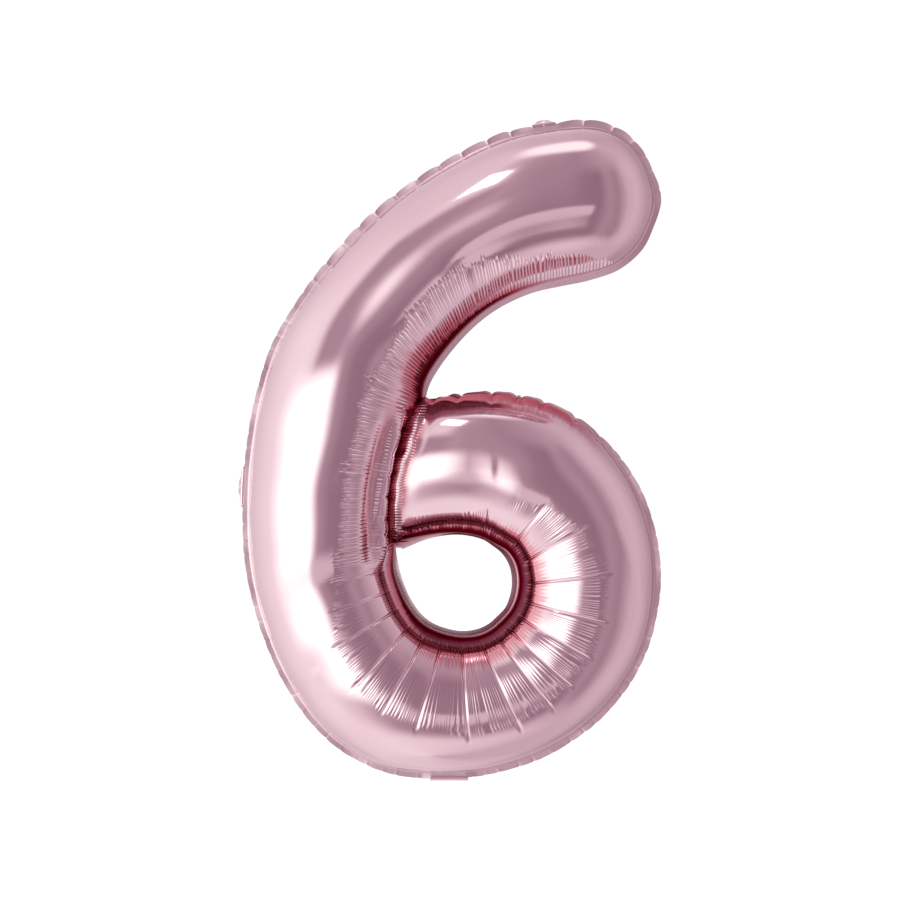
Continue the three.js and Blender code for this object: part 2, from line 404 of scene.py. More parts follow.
def add_creases(rng, height, position, from_in, flat_in):
    """The ring's long creases, each straight across its station, and the pillows between them."""
    v = share
    for at, end, size in CREASES:
        line = position[int(np.argmin(np.abs(station - at)))]
        direction = line[-1] - line[0]
        direction = direction / np.linalg.norm(direction)
        gap = (position - line[0]) @ np.array([-direction[1], direction[0]])
        near = np.abs(station[:, None] - at) < 1.2
        reach = smoothstep(end + 0.012 * rng.uniform(-1, 1) - v, 0.0, 0.06)
        width = 2.4 + 2.2 * np.exp(-(((end - v - 0.05) / 0.05) ** 2))
        dip = groove(gap, width) * reach * near
        fade = 0.25 + 0.75 * smoothstep(flat_in, 14.0, 24.0)
        height -= CREASE_DEPTH * size * dip * fade * smoothstep(flat_in, 6, 9)
    between = station - np.floor(station)
    on_ring = smoothstep(station, 18.5, 21.5) * (1 - smoothstep(station, 32.5, 34.0))
    pillow = np.sin(np.pi * between) ** 0.8 * on_ring
    spread = np.exp(-(((v - 0.3) / 0.28) ** 2)) * smoothstep(onset[:, None] + 0.08 - v, 0, 0.2)
    height += 1.1 * pillow[:, None] * spread * smoothstep(from_in, 0.0, 7.0)


def add_rolls(height, flat, flat_in, on_stem, away, pillows):
    """A roll of film beside the inner seam, and pillows pinched on both sides of the cleft."""
    z = flat[..., 1]
    around = 0.7 * smoothstep(station, 17.0, 19.0) * (1 - smoothstep(station, 33.0, 35.0))
    roll = np.exp(-(((flat_in - 20) / 6) ** 2)) - 0.5 * np.exp(-(((flat_in - 33) / 7) ** 2))
    height += roll * around[:, None]
    crest = 10 + 4 * smoothstep(z, 390, 430)
    roll = 10.5 * np.exp(-(((away - crest) / 6.0) ** 2))
    roll = roll - 5.0 * np.exp(-(((away - crest - 13) / 6) ** 2))
    height += pillows * roll * on_stem * smoothstep(-z, -480, -440)
    height -= 2.4 * pinched(z, 6.0) * on_stem * np.exp(-(((away - 4) / 7) ** 2))
    on_bowl = smoothstep(station, 34.6, 35.4)[:, None]
    roll = 3.2 * np.exp(-(((-away - 9) / 5.5) ** 2)) - 1.0 * np.exp(-(((-away - 22) / 8) ** 2))
    height += roll * on_bowl
    height -= 3.0 * pinched(z, 7.0) * on_bowl * np.exp(-(((away + 4) / 12) ** 2))


def add_puckers(height, from_out):
    """The outer seam's puckers: a sharp pinch in a wider hollow."""
    for u, size, length in PUCKERS:
        gap = (reach_out - u)[:, None] + 0.08 * from_out * math.sin(7 * u)
        pinch = groove(gap, 1.7) * np.exp(-((from_out / length) ** 2))
        pinch = pinch * smoothstep(from_out, -1, 2.5)
        hollow = groove(gap, 7.0) * np.exp(-((from_out / (0.8 * length)) ** 2))
        hollow = hollow * smoothstep(from_out, 0, 4)
        height -= size * (pinch + 0.45 * hollow)


def add_unevenness(rng, height, position, from_in, from_out):
    """Slow unevenness of the taut film."""
    calm = smoothstep(from_in, 0, 25) * smoothstep(from_out, 0, 25)
    for _ in range(5):
        kx, kz = rng.normal(0, 1 / 190, 2)
        wave = position[..., 0] * kx + position[..., 1] * kz
        height += 0.35 * calm * np.sin(2 * np.pi * wave + rng.uniform(0, TURN))


def relief(seed, girth, flat, pillows):
    """How far each point stands off the plain tube, in mm; pillows scales the stem's roll."""
    rng = np.random.default_rng(seed)
    from_in, from_out = girth, girth[:, -1:] - girth
    flat_in = np.linalg.norm(flat - flat[:, :1], axis=2)
    away = cleft_line(flat[..., 1]) - flat[..., 0]
    on_stem = (smoothstep(station, 11.2, 12.6) * (1 - smoothstep(station, 16.6, 18.0)))[:, None]
    position = middle[:, None, :] - across[:, None, :] * np.cos(np.pi * share)[..., None]
    height = np.zeros_like(share)
    add_ruffles(rng, height, from_in, flat_in, on_stem, away)
    add_creases(rng, height, position, from_in, flat_in)
    add_rolls(height, flat, flat_in, on_stem, away, pillows)
    add_puckers(height, from_out)
    add_unevenness(rng, height, position, from_in, from_out)
    return height


def ridge(position, points, size, width, sharp=1.5):
    """A soft fold standing up along a smooth line through the points."""
    t = np.linspace(0, len(points) - 1, 24 * len(points))
    line = centripetal(points, t)
    fade = np.minimum(t, t[-1] - t) / t[-1]
    best = np.full(position.shape[:2], 1e9)
    level = np.zeros_like(best)
    for p, f in zip(line, smoothstep(fade, 0, 0.22)):
        d = np.hypot(position[..., 0] - p[0], position[..., 1] - p[1])
        closer = d < best
        best = np.where(closer, d, best)
        level = np.where(closer, f, level)
    d = np.sqrt(best**2 + sharp**2) - sharp
    return size * level * np.exp(-d / width)


# ---------------------------------------------------------------- the two films

CLEFT_REACH = 17.0  # how far the bowl's end goes past the cleft's line, over the stem


def close_cleft(flat):
    """How far the bowl's end moves sideways to lie against the stem, in mm."""
    end = flat[-1]
    meet = cleft_line(end[:, 1]) - CLEFT_REACH + 2.0 * pinched(end[:, 1], 8.0)
    return (smoothstep(station, 34.2, LAST) ** 1.3)[:, None] * (meet - end[:, 0])[None, :]


# How wide the painted light beside the inner weld is, in mm, where the film is tightly gathered:
# the painted shade of its deep folds, which trap the light, and the whole band of painted reddish
# reflection.
FOLD_SHADE_WIDTHS = [
    (0, 0), (6.5, 0), (8, 5), (10, 11), (11.3, 13), (12.2, 4), (13, 0), (16, 0), (17.5, 1), (19, 2),
    (20.5, 4), (21.5, 9), (23, 14), (30, 15), (33, 12), (36, 8), (37, 6),
]
FOLD_REFLECTION_WIDTHS = [
    (0, 0), (5, 0), (7, 8), (9, 18), (10.5, 34), (11.5, 38), (12, 20), (13, 0), (16.3, 0), (17, 7),
    (19, 9), (21, 18), (23, 32), (26, 32), (30, 31), (33, 25), (36, 14), (37, 8),
]


def painted_fold_light_mask(flat):
    """A mask of painted light on the gathered film: 1 for painted shade in the folds, a half for a
    painted reddish reflection where they run out in fine teeth.
    """
    rng = np.random.default_rng(23)
    teeth_in = np.sin(2 * np.pi * reach_in / INNER_TEETH) + 0.9 * wobble(rng, reach_in, 12, 2)
    teeth_out = np.sin(2 * np.pi * reach_out / OUTER_TEETH) + 0.9 * wobble(rng, reach_out, 14, 2)
    from_in = np.linalg.norm(flat - flat[:, :1], axis=2)
    from_out = np.linalg.norm(flat - flat[:, -1:], axis=2)
    away = cleft_line(flat[..., 1]) - flat[..., 0]

    def within(distance, edge, soft):
        """1 nearer than edge, 0 beyond it, with a soft border."""
        return 1 - smoothstep(distance - edge, -soft / 2, soft)

    folded = by_station(FOLD_SHADE_WIDTHS, station)[:, None]
    wide = by_station(FOLD_REFLECTION_WIDTHS, station)[:, None]
    bite = teeth_in[:, None]
    inner = 0.5 * within(from_in, folded * (1 + 0.2 * bite), 3) * smoothstep(folded, 0.2, 1.2)
    inner += 0.45 * within(from_in, wide * (1 + 0.11 * bite), 6) * smoothstep(wide, 1, 6)
    top = smoothstep(station, 31.5, 33.0) * (1 - smoothstep(station, 36.2, 36.7))
    outer = 0.52 * within(from_out, 12 + 1.5 * teeth_out[:, None], 4) * top[:, None]
    # both sides of the cleft: painted shade at its bottom, none on the pillows' bright crests, a
    # painted reddish reflection beyond
    on_stem = (smoothstep(station, 11.6, 12.6) * (1 - smoothstep(station, 16.4, 17.2)))[:, None]
    beside = np.exp(-(((away - 26 - bite) / 6) ** 2))
    stem = np.maximum(0.75 * within(away, 7.0, 3), 0.4 * beside) * on_stem
    on_bowl = smoothstep(station, 35.0, 35.6)[:, None]
    beside = np.exp(-(((-away - 17) / 5) ** 2)) * smoothstep(flat[..., 1], 300, 380)
    bowl = np.maximum(0.75 * within(-away, 1.5, 3), 0.45 * beside) * on_bowl
    return np.clip(np.max([inner, outer, stem, bowl], axis=0), 0, 1)


NECK_TOP = 60  # only the bowl's bottom edge lies below this height
FILM_GAP = 0.05  # half the gap between the films


def neck_gap(edge):
    """Half the gap between the films along an edge: they part in the neck, round the valve."""
    neck = (1 - smoothstep(np.abs(edge[:, 0]), 22, 38)) * (edge[:, 1] < NECK_TOP)
    return FILM_GAP + 1.05 * neck


def film_mesh(name, side, seed):
    """One film; side is -1 for the front and 1 for the back."""
    depth = half * FULLNESS * closing(station)
    angle = np.pi * share
    flat = middle[:, None, :] - across[:, None, :] * np.cos(angle)[..., None]
    flat[..., 0] += close_cleft(flat)
    rise = depth[:, None] * np.sin(angle)
    tube = np.stack([flat[..., 0], rise, flat[..., 1]], axis=-1)
    steps = np.linalg.norm(np.diff(tube, axis=1), axis=2)
    girth = np.concatenate([np.zeros((COLUMNS, 1)), np.cumsum(steps, axis=1)], axis=1)
    height = relief(seed, girth, flat, 1.0 if side < 0 else 0.5)
    if side < 0:
        for points, size, width in FRONT_FOLDS:
            height += ridge(flat, points, size, width)
    normal = np.cross(np.gradient(tube, axis=0), np.gradient(tube, axis=1))
    length = np.linalg.norm(normal, axis=2)
    length[length < 1e-9] = 1
    normal /= length[..., None]
    normal[normal[..., 1].mean(axis=1) < 0] *= -1
    taper = smoothstep(station, 0.0, 0.35)[:, None] * smoothstep(LAST - station, 0.0, 0.3)[:, None]
    height *= taper * smoothstep(np.sin(angle), 0.0, 0.08)
    tube = tube + normal * height[..., None]
    tube[..., 1] = np.maximum(tube[..., 1], FILM_GAP)

    # the bowl's scalloped top edge
    scale = np.linalg.norm(rim_out - seam_out, axis=1)[:, None]
    pull = (seam_out - rim_out) / np.maximum(scale, 0.1) * scallops()[:, None]
    local = np.exp(-((np.linalg.norm(flat - flat[:, -1:], axis=2) / 11) ** 2))
    tube[..., 0] += pull[:, None, 0] * local
    tube[..., 2] += pull[:, None, 1] * local

    # the weld margin, which both films share
    tube[..., 1] *= side
    wave = flange_wave()
    margins = []
    for edge, border, ripple, drawn_in in (
        (rim_in, seam_in, wave["in"], np.zeros(COLUMNS)),
        (rim_out, seam_out, wave["out"], scallops()),
    ):
        outward = (edge - border) / np.linalg.norm(edge - border, axis=1)[:, None]
        rows = []
        for k in range(FLANGE_ROWS):
            w = 1 - k / FLANGE_ROWS
            p = border + (edge - border) * w + outward * (ripple["out"] * w - drawn_in)[:, None]
            y = ripple["y"] * w + side * neck_gap(edge)
            rows.append(np.stack([p[:, 0], y, p[:, 1]], axis=1))
        margins.append(rows)
    grid = np.stack(margins[0] + list(np.moveaxis(tube, 1, 0)) + margins[1][::-1], axis=1)

    # what the material needs to know of each point
    weld, painted_fold_light, teeth = (np.zeros(grid.shape[:2]) for _ in range(3))
    weld[:, : FLANGE_ROWS + 1] = weld[:, -FLANGE_ROWS - 1 :] = 1
    # painted shade in the gathered film's folds and a painted reddish reflection where it is
    # gathered
    painted_fold_light[:, FLANGE_ROWS:-FLANGE_ROWS] = painted_fold_light_mask(flat)
    beyond = flat[..., 0] - cleft_line(flat[..., 1])
    on_bowl = smoothstep(station, 35, 35.5)[:, None]
    teeth[:, FLANGE_ROWS:-FLANGE_ROWS] = on_bowl * (1 - smoothstep(beyond, 13, 19))
    return build(name, grid, side, {"weld": weld, "painted_fold_light": painted_fold_light, "teeth": teeth})


# The margin's lean out of its plane along the inner edge, in mm, and the stations of the tabs,
# where it lies flat as it does in the neck.
LEAN = [(0, 1.2), (3, 1.6), (10, 1.4), (12, 0.0), (17, 0.0), (19, -2.0), (33, -2.0), (37, 0)]
TOP_TAB_AT, SIDE_TAB_AT = 5.14, 14.93


def flange_wave():
    """Waves of the weld margin: out of its plane, and in and out along the edge."""
    rng = np.random.default_rng(41)
    ends = smoothstep(station, 0.0, 0.4) * smoothstep(LAST - station, 0.0, 1.5)
    inner = {
        "y": ends * (by_station(LEAN, station) + 0.4 * wobble(rng, reach_in, 120, 1)),
        "out": ends * 0.3 * wobble(rng, reach_in, 90, 1),
    }
    held = np.exp(-(((station - TOP_TAB_AT) / 0.5) ** 2))
    held += np.exp(-(((station - SIDE_TAB_AT) / 0.6) ** 2))
    held += np.exp(-((rim_out[:, 0] / 34) ** 2)) * (rim_out[:, 1] < NECK_TOP)
    y = -0.2 + 0.6 * wobble(rng, reach_out, 90, 2) + 2.5 * smoothstep(station, 31.5, 33)
    out = 0.2 * wobble(rng, reach_out, 70, 1)
    for u, size, _ in PUCKERS:
        gap = reach_out - u
        out -= 0.7 * size * groove(gap, 2.6)
        y -= 0.35 * size * groove(gap, 2.4) * np.sign(math.sin(5 * u))
        out += 0.3 * size * groove(gap - 9, 8.0)
    # larger lumps between pinches along the arm's top
    pinch = np.array([u for u, *_ in PUCKERS])
    k = np.clip(np.searchsorted(pinch, reach_out), 1, len(pinch) - 1)
    between = np.clip((reach_out - pinch[k - 1]) / (pinch[k] - pinch[k - 1]), 0, 1)
    lump = np.sin(np.pi * between) ** 0.8 * on_arm(station)
    out += 2.0 * lump
    y += 1.2 * lump
    free = np.clip(1 - held, 0, 1)
    return {"in": inner, "out": {"y": ends * y * free, "out": ends * out * (0.3 + 0.7 * free)}}


def add_object(name, data):
    """A new object in the scene."""
    obj = bpy.data.objects.new(name, data)
    bpy.context.scene.collection.objects.link(obj)
    return obj


def build(name, grid, side, masks):
    """A quad mesh from a grid of points in mm, facing out, with masks as point attributes."""
    n, m = grid.shape[:2]
    index = np.arange(n * m).reshape(n, m)
    a, b = index[:-1, :-1], index[:-1, 1:]
    c, d = index[1:, 1:], index[1:, :-1]
    quads = np.stack([a, b, c, d] if side > 0 else [a, d, c, b], axis=-1).reshape(-1, 4)
    mesh = bpy.data.meshes.new(name)
    mesh.vertices.add(n * m)
    mesh.vertices.foreach_set("co", (grid.reshape(-1) * MM).astype(np.float32))
    mesh.loops.add(quads.size)
    mesh.loops.foreach_set("vertex_index", quads.reshape(-1).astype(np.int32))
    mesh.polygons.add(len(quads))
    mesh.polygons.foreach_set("loop_start", np.arange(0, quads.size, 4, dtype=np.int32))
    mesh.update(calc_edges=True)
    mesh.validate()
    mesh.polygons.foreach_set("use_smooth", np.ones(len(mesh.polygons), dtype=bool))
    for mask, values in masks.items():
        layer = mesh.attributes.new(mask, "FLOAT", "POINT")
        layer.data.foreach_set("value", values.reshape(-1).astype(np.float32))
    return add_object(name, mesh)


# ---------------------------------------------------------------- materials


def principled(name):
    """A new material with one shader."""
    material = bpy.data.materials.new(name)
    material.use_nodes = True
    nodes, links = material.node_tree.nodes, material.node_tree.links
    nodes.clear()
    shader = nodes.new("ShaderNodeBsdfPrincipled")
    output = nodes.new("ShaderNodeOutputMaterial")
    links.new(shader.outputs["BSDF"], output.inputs["Surface"])
    return material, nodes, links, shader


def preset(node, values):
    """Set some of a node's inputs to constants, and give the node back."""
    for socket, value in values.items():
        node.inputs[socket].default_value = value
    return node


PINK_FILM, PALE_FILM = (0.85, 0.585, 0.645, 1), (0.875, 0.62, 0.68, 1)
# painted light: a reddish painted reflection of the film in itself and the painted shade of deep
# folds, for the base colour and the edge tint
PAINTED_REFLECTION_RED, PAINTED_FOLD_SHADE = (0.72, 0.28, 0.33, 1), (0.19, 0.065, 0.088, 1)
WHITE, PAINTED_REFLECTION_EDGE_TINT, PAINTED_SHADE_EDGE_TINT = (1.0, 1.0, 1.0, 1.0), (0.8, 0.35, 0.4, 1), (0.24, 0.1, 0.13, 1)
CLEFT_TEETH = 0.0036  # from one tooth of the cleft's pillows to the next, in metres


def foil_material():
    material, nodes, links, shader = principled("rose_gold_foil")
    preset(shader, {"Metallic": 1.0})
    coords = nodes.new("ShaderNodeTexCoord")

    def noise(scale, detail):
        node = preset(nodes.new("ShaderNodeTexNoise"), {"Scale": scale, "Detail": detail})
        links.new(coords.outputs["Object"], node.inputs["Vector"])
        return node.outputs["Fac"]

    def mask(name):
        node = nodes.new("ShaderNodeAttribute")
        node.attribute_name = name
        return node.outputs["Fac"]

    def remap(value, limits):
        node = preset(nodes.new("ShaderNodeMapRange"), limits)
        links.new(value, node.inputs["Value"])
        return node.outputs["Result"]

    def blend(factor, first, second):
        node = nodes.new("ShaderNodeMix")
        node.data_type = "RGBA"
        links.new(factor, node.inputs[0])
        if isinstance(first, tuple):
            node.inputs[6].default_value = first
        else:
            links.new(first, node.inputs[6])
        node.inputs[7].default_value = second
        return node.outputs[2]

    ramp = nodes.new("ShaderNodeValToRGB")
    for element, position, color in zip(
        ramp.color_ramp.elements, (0.3, 0.7), (PINK_FILM, PALE_FILM)
    ):
        element.position, element.color = position, color
    links.new(noise(6.0, 3.0), ramp.inputs["Fac"])
    # painted light where the film is tightly gathered: a painted reddish reflection, and painted
    # shade in its folds, also in the tint seen along the surface
    painted_fold_light = mask("painted_fold_light")
    painted_reflection = remap(painted_fold_light, {"From Min": 0.0, "From Max": 0.5})
    deep = remap(painted_fold_light, {"From Min": 0.5, "From Max": 1.0})
    base = blend(deep, blend(painted_reflection, ramp.outputs["Color"], PAINTED_REFLECTION_RED), PAINTED_FOLD_SHADE)
    links.new(base, shader.inputs["Base Color"])
    edge = blend(deep, blend(painted_reflection, WHITE, PAINTED_REFLECTION_EDGE_TINT), PAINTED_SHADE_EDGE_TINT)
    links.new(edge, shader.inputs["Specular Tint"])

    # the weld's pressed margin is duller than the taut film
    rough = remap(noise(45.0, 4.0), {"To Min": 0.07, "To Max": 0.13})
    duller = nodes.new("ShaderNodeMath")
    duller.operation = "MULTIPLY_ADD"
    preset(duller, {1: 0.24})
    links.new(mask("weld"), duller.inputs[0])
    links.new(rough, duller.inputs[2])
    links.new(duller.outputs[0], shader.inputs["Roughness"])

    # a faint grain, and fine teeth on the bowl's pillows along the cleft
    grain = preset(nodes.new("ShaderNodeBump"), {"Strength": 0.05, "Distance": 0.0004})
    links.new(noise(420.0, 2.0), grain.inputs["Height"])
    split = nodes.new("ShaderNodeSeparateXYZ")
    links.new(coords.outputs["Object"], split.inputs[0])
    value = split.outputs["Z"]
    for operation, other in (
        ("MULTIPLY", 2 * math.pi / CLEFT_TEETH),
        ("SINE", None),
        ("MULTIPLY", mask("teeth")),
    ):
        node = nodes.new("ShaderNodeMath")
        node.operation = operation
        links.new(value, node.inputs[0])
        if isinstance(other, float):
            node.inputs[1].default_value = other
        elif other is not None:
            links.new(other, node.inputs[1])
        value = node.outputs[0]
    toothed = preset(nodes.new("ShaderNodeBump"), {"Strength": 0.6, "Distance": 0.0005})
    links.new(value, toothed.inputs["Height"])
    links.new(grain.outputs["Normal"], toothed.inputs["Normal"])
    links.new(toothed.outputs["Normal"], shader.inputs["Normal"])
    return material


foil = foil_material()

front = film_mesh("front_film_foil", -1, 61)
back = film_mesh("back_film_foil", 1, 62)
for piece, node in ((front, "front_film"), (back, "back_film")):
    piece.data.materials.append(foil)
    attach(piece, "envelope")
    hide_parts(node)

# ---------------------------------------------------------------- tail, tabs and valve


def shell(name, grid, thick):
    """A thin closed sheet round a grid of points in mm."""
    du, dv = np.gradient(grid, axis=0), np.gradient(grid, axis=1)
    normal = np.cross(du, dv)
    normal /= np.maximum(np.linalg.norm(normal, axis=2), 1e-9)[..., None]
    n, m = grid.shape[:2]
    verts = np.concatenate([grid + normal * thick / 2, grid - normal * thick / 2]).reshape(-1, 3)
    index = np.arange(2 * n * m).reshape(2, n, m)
    top, low = index
    faces = [
        np.stack([top[:-1, :-1], top[1:, :-1], top[1:, 1:], top[:-1, 1:]], -1).reshape(-1, 4),
        np.stack([low[:-1, :-1], low[:-1, 1:], low[1:, 1:], low[1:, :-1]], -1).reshape(-1, 4),
    ]
    border = [top[:, 0], top[-1, :], top[::-1, -1], top[0, ::-1]]
    under = [low[:, 0], low[-1, :], low[::-1, -1], low[0, ::-1]]
    for t, u in zip(border, under):
        faces.append(np.stack([t[1:], t[:-1], u[:-1], u[1:]], -1))
    quads = np.concatenate(faces)
    mesh = bpy.data.meshes.new(name)
    mesh.from_pydata((verts * MM).tolist(), [], quads.tolist())
    mesh.validate()
    mesh.polygons.foreach_set("use_smooth", np.ones(len(mesh.polygons), dtype=bool))
    return add_object(name, mesh)


TAIL_END, TAIL_HALF_WIDTH, TAIL_CORNER = 66.0, 25, 5
TAIL_POINTS = 61  # across the tail


def tail_ply(name, start_y, flat_z, seed):
    """One film of the fill tail, from the neck round the fold and flat towards the back."""
    rng = np.random.default_rng(seed)
    bend = np.array([
        (start_y, 2.2), (start_y, 0.5), (start_y, -1.0), (start_y * 0.75, flat_z * 0.62),
        (0.7, flat_z * 0.9), (2.2, flat_z), (4.0, flat_z),
    ])
    fine = centripetal(bend, np.linspace(0, len(bend) - 1, 40))
    run = np.linspace(5.0, TAIL_END, 44)
    path = np.vstack([fine, np.stack([run, np.full_like(run, flat_z)], axis=1)])
    corner = np.clip(path[:, 0] - (TAIL_END - TAIL_CORNER), 0, TAIL_CORNER)
    half_width = TAIL_HALF_WIDTH - (TAIL_CORNER - np.sqrt(TAIL_CORNER**2 - corner**2))
    x = half_width[:, None] * np.linspace(-1, 1, TAIL_POINTS)[None, :]
    y = np.repeat(path[:, :1], TAIL_POINTS, axis=1)
    z = np.repeat(path[:, 1:], TAIL_POINTS, axis=1)
    waves = zip(rng.normal(0, 1 / 24, 6), rng.normal(0, 1 / 40, 6), rng.uniform(0, TURN, 6))
    ripple = sum(np.sin(2 * np.pi * (x * kx + y * ky) + turn) for kx, ky, turn in waves)
    z = z + 0.09 * ripple * smoothstep(y, 3, 20)
    return shell(name, np.stack([x, y, z], axis=-1), 0.25)


# The hole's radius and height above the root line, the lap onto the weld, the bend's length.
TAB_HOLE, TAB_RISE, TAB_LAP, TAB_BEND = 3.5, 9.0, 3.0, 2.0
TAB_POINTS = 121  # round the hole and round the edge


def hanging_tab(name, root, axis, base, head, tall, fold):
    """A punched hanging tab, bent back by fold degrees at the weld's edge.

    base is the width of its foot, head the radius of its rounded end, tall its height. Gives the
    piece and the start and end of its bend, in metres.
    """
    root, axis = np.array(root), np.array(axis)
    out = np.array([-axis[2], 0, axis[0]])
    turn = np.linspace(0, 2 * np.pi, TAB_POINTS)
    hole = np.stack([TAB_HOLE * np.sin(turn), TAB_RISE - TAB_HOLE * np.cos(turn)], axis=1)
    half_base = base / 2
    lift = np.linspace(0, 1, 26)
    neck_h = tall - head
    arc = np.linspace(0, np.pi, 40)
    right = np.concatenate([
        np.stack([np.linspace(0, half_base, 16), np.full(16, -TAB_LAP)], 1),
        np.stack([np.full(4, half_base), np.linspace(-TAB_LAP * 0.7, -0.2, 4)], 1),
        np.stack([head + (half_base - head) * (1 - lift) ** 1.8, neck_h * lift], 1),
        np.stack([head * np.cos(arc / 2), neck_h + head * np.sin(arc / 2)], 1)[1:],
    ])
    whole = np.vstack([right, (right * [-1, 1])[::-1][1:]])
    along_edge = arc_length(whole)
    at = np.linspace(0, along_edge[-1], TAB_POINTS)
    edge = np.stack([np.interp(at, along_edge, whole[:, k]) for k in (0, 1)], axis=1)
    rings = np.linspace(0, 1, 12)[:, None, None]
    spot = hole[None] * (1 - rings) + edge[None] * rings
    a, h = spot[..., 0], spot[..., 1]
    angle = math.radians(fold)
    bent = np.clip(h, 0, TAB_BEND)
    beta = angle * bent / TAB_BEND
    straight = np.maximum(h - TAB_BEND, 0)
    forward = np.minimum(h, 0) + TAB_BEND / angle * np.sin(beta) + straight * math.cos(angle)
    back = TAB_BEND / angle * (1 - np.cos(beta)) + straight * math.sin(angle)
    puff = 0.25 * np.sin(a * 0.33 + 1) * smoothstep(h, 2, 8)
    back = back + puff * math.cos(angle)
    forward = forward - puff * math.sin(angle)
    grid = root + a[..., None] * axis + forward[..., None] * out
    grid = grid + back[..., None] * np.array([0, 1, 0])
    piece = shell(name, grid, 0.4)
    middle_of_bend = np.array([0, math.sin(angle / 2), 0]) + math.cos(angle / 2) * out
    return piece, root * MM, (root + TAB_BEND * middle_of_bend) * MM


VALVE_TOP = 106


def valve_ply(name, side):
    """One ply of the clear valve sleeve inside the neck."""
    z = np.linspace(0.4, VALVE_TOP, 90)
    half_width = np.interp(z, [0, 100, VALVE_TOP], [19, 15.2, 11])
    x = half_width[:, None] * np.linspace(-1, 1, 31)[None, :]
    wave = 0.18 * np.sin(z / 9.0)[:, None] * np.sin(x / 6.0 + z[:, None] / 25.0)
    y = side * (0.45 + 0.25 * smoothstep(z, 8, 40))[:, None] + wave
    return shell(name, np.stack([x, y, np.repeat(z[:, None], 31, axis=1)], axis=-1), 0.15)


def clear_film_material():
    material, nodes, links, shader = principled("clear_valve_film")
    preset(shader, {"Base Color": (0.9, 0.92, 0.93, 1), "Alpha": 0.35, "Roughness": 0.3})
    coords = nodes.new("ShaderNodeTexCoord")
    haze = preset(nodes.new("ShaderNodeTexNoise"), {"Scale": 160.0})
    links.new(coords.outputs["Object"], haze.inputs["Vector"])
    bump = preset(nodes.new("ShaderNodeBump"), {"Strength": 0.2, "Distance": 0.0005})
    links.new(haze.outputs["Fac"], bump.inputs["Height"])
    links.new(bump.outputs["Normal"], shader.inputs["Normal"])
    return material


for name, node, start_y, flat_z, seed in (
    ("tail_front_foil", "tail_front_film", -1.3, -4.95, 71),
    ("tail_back_foil", "tail_back_film", 1.3, -3.85, 72),
):
    piece = tail_ply(name, start_y, flat_z, seed)
    piece.data.materials.append(foil)
    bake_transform(piece)
    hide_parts(node)

# The root's middle and direction are those of the joint; shape is base, head, tall and fold.
for name, node, body, root, axis, shape in (
    (
        "top_tab_foil", "top_hang_tab", "top_tab",
        (122.878, 0, 848.161), (0.990242, 0, 0.139355), (32, 9, 17.5, 68),
    ),
    (
        "side_tab_foil", "side_hang_tab", "side_tab",
        (-269.115, 0, 377.158), (0.047092, 0, 0.998891), (52, 10, 17, 74),
    ),
):
    piece, bend_start, bend_end = hanging_tab(name, root, axis, *shape)
    piece.data.materials.append(foil)
    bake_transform(piece)
    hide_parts(node)

clear_film = clear_film_material()
for name, node, side in (
    ("valve_front_sleeve", "valve_front_ply", -1),
    ("valve_back_sleeve", "valve_back_ply", 1),
):
    piece = valve_ply(name, side)
    piece.data.materials.append(clear_film)
    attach(piece, "envelope")
    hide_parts(node)

# ---------------------------------------------------------------- floor, light and camera

FLOOR_Z, FLOOR_REACH = -0.6, 14  # well below the balloon, which floats


def pale_floor():
    """A plain pale floor; mirror-like film sees the studio painted in the world instead."""
    material, _, _, shader = principled("pale_floor")
    preset(shader, {"Base Color": (0.9, 0.9, 0.9, 1), "Roughness": 0.9})
    preset(shader, {"Emission Color": (1, 1, 1, 1), "Emission Strength": 0.6})
    sides = ((-1, -1), (1, -1), (1, 1), (-1, 1))
    mesh = bpy.data.meshes.new("floor")
    corners = [(FLOOR_REACH * a, FLOOR_REACH * b, FLOOR_Z) for a, b in sides]
    mesh.from_pydata(corners, [], [(0, 1, 2, 3)])
    mesh.materials.append(material)
    obj = add_object("floor", mesh)
    obj.visible_glossy = False


pale_floor()


def softbox(name, at, aim, size, radiance):
    """A rectangular light of a stated brightness, as the film mirrors it."""
    light = bpy.data.lights.new(name, "AREA")
    light.shape = "RECTANGLE"
    light.size, light.size_y = size
    light.energy = radiance * math.pi * size[0] * size[1]
    obj = add_object(name, light)
    obj.location = at
    obj.rotation_euler = (Vector(aim) - Vector(at)).to_track_quat("-Z", "Y").to_euler()
    obj.visible_camera = False


softbox("softbox_top", (-0.2, -0.4, 1.35), (0.045, -0.077, 0.764), (0.17, 0.17), 3.0)

# The studio round the balloon, by direction: azimuth in degrees (0 towards the camera, positive
# to the right) and elevation. Brightness at level, below and above.
AT_LEVEL = [
    (-180, 0.75), (-150, 0.72), (-120, 0.9), (-95, 1.05), (-70, 1.1), (-35, 0.8), (-12, 0.4),
    (0, 0.35), (10, 0.26), (26, 0.24), (38, 0.38), (54, 0.32), (64, 0.45), (76, 0.62), (95, 0.68),
    (116, 0.56), (136, 0.42), (152, 0.38), (180, 0.7),
]
BELOW = [
    (-180, 0.85), (-100, 1.0), (-40, 1.05), (0, 0.95), (40, 0.75), (70, 0.6), (140, 0.6),
    (180, 0.82),
]
ABOVE = [
    (-180, 0.6), (-120, 0.8), (-60, 0.85), (-22, 0.45), (0, 0.33), (40, 0.44), (90, 0.6),
    (140, 0.52), (180, 0.58),
]
TO_BELOW, TO_ABOVE = (-40.0, -62.0), (30.0, 55.0)  # elevations over which level gives way
# Bright and dark patches: azimuth rise, azimuth fall, elevation rise, elevation fall, brightness
PATCHES = [
    ((-92, -50), (-21, -3), (-33, -12), (5, 26), 2.0),
    ((-60, -44), (-24, -12), (16, 27), (38, 46), 0.37),
    ((-62, -44), (-30, -18), (40, 52), (54, 68), 0.95),
    ((-18, -6), (20, 23), (-36, -26), (-17, -11), 0.7),
    ((-190, -185), (185, 190), (74, 84), (95, 99), 1.4),
]


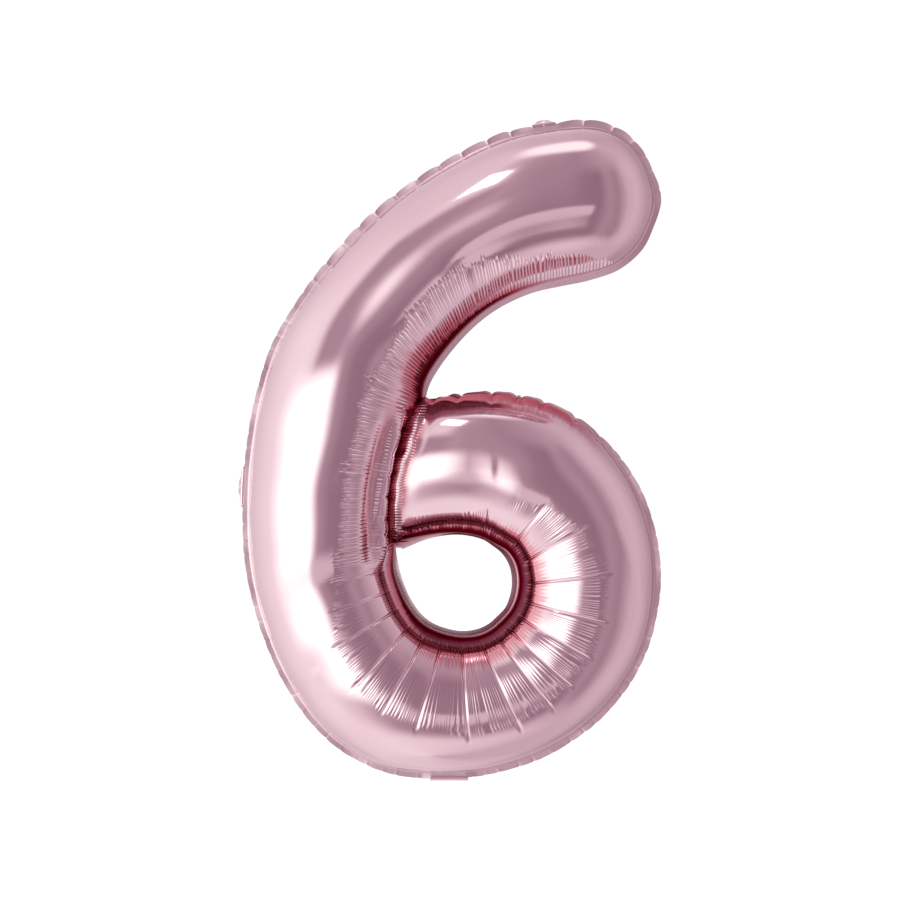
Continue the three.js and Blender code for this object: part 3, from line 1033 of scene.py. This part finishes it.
def studio():
    """The world as the film mirrors it; the camera itself sees plain white."""
    world = bpy.data.worlds.new("studio")
    bpy.context.scene.world = world
    world.use_nodes = True
    nodes, links = world.node_tree.nodes, world.node_tree.links
    nodes.clear()

    def put(socket, value):
        if isinstance(value, (int, float)):
            socket.default_value = value
        else:
            links.new(value, socket)

    def calc(operation, *values):
        node = nodes.new("ShaderNodeMath")
        node.operation = operation
        for k, value in enumerate(values):
            put(node.inputs[k], value)
        return node.outputs[0]

    def step(value, low, high):
        node = nodes.new("ShaderNodeMapRange")
        node.interpolation_type = "SMOOTHSTEP"
        put(node.inputs["Value"], value)
        node.inputs["From Min"].default_value = low
        node.inputs["From Max"].default_value = high
        return node.outputs["Result"]

    def mix(a, b, share):
        rest = calc("MULTIPLY", a, calc("SUBTRACT", 1.0, share))
        return calc("ADD", rest, calc("MULTIPLY", b, share))

    def within(value, rise, fall):
        return calc("MULTIPLY", step(value, *rise), calc("SUBTRACT", 1.0, step(value, *fall)))

    def curve(knots):
        node = nodes.new("ShaderNodeValToRGB")
        elements = node.color_ramp.elements
        for _ in knots[2:]:
            elements.new(0.5)
        for element, (at, value) in zip(elements, knots):
            element.position = (at + 180) / 360
            element.color = (value, value, value, 1)
        links.new(turn, node.inputs["Fac"])
        return node.outputs["Color"]

    coords = nodes.new("ShaderNodeTexCoord")
    split = nodes.new("ShaderNodeSeparateXYZ")
    links.new(coords.outputs["Generated"], split.inputs["Vector"])
    x, y, z = split.outputs
    azimuth = calc("MULTIPLY", calc("ARCTAN2", x, calc("MULTIPLY", y, -1.0)), 180 / math.pi)
    elevation = calc("MULTIPLY", calc("ARCSINE", z), 180 / math.pi)
    turn = calc("ADD", calc("DIVIDE", azimuth, 360.0), 0.5)
    level = curve(AT_LEVEL)
    level = mix(level, curve(BELOW), step(elevation, *TO_BELOW))
    level = mix(level, curve(ABOVE), step(elevation, *TO_ABOVE))
    for left, right, bottom, top, value in PATCHES:
        inside = calc("MULTIPLY", within(azimuth, left, right), within(elevation, bottom, top))
        level = mix(level, value, inside)
    # darker parts of the studio are warmer
    tint = nodes.new("ShaderNodeCombineXYZ")
    put(tint.inputs[0], calc("MULTIPLY", calc("POWER", level, 0.76), 0.98))
    put(tint.inputs[1], level)
    put(tint.inputs[2], calc("POWER", level, 0.86))
    background = nodes.new("ShaderNodeBackground")
    links.new(tint.outputs[0], background.inputs["Color"])
    plain = preset(nodes.new("ShaderNodeBackground"), {"Color": (1, 1, 1, 1), "Strength": 1.05})
    path = nodes.new("ShaderNodeLightPath")
    choose = nodes.new("ShaderNodeMixShader")
    links.new(path.outputs["Is Camera Ray"], choose.inputs[0])
    links.new(background.outputs[0], choose.inputs[1])
    links.new(plain.outputs[0], choose.inputs[2])
    output = nodes.new("ShaderNodeOutputWorld")
    links.new(choose.outputs[0], output.inputs["Surface"])


studio()

camera = bpy.data.cameras.new("camera")
camera.sensor_width = 36
camera.lens = 107.7
eye = add_object("camera", camera)
eye.location = (0.0013, -3.5, 0.425)
eye.rotation_euler = (math.pi / 2, 0, 0)
scene = bpy.context.scene
scene.camera = eye
scene.view_settings.view_transform = "Standard"
scene.cycles.max_bounces = 16
scene.cycles.glossy_bounces = 14
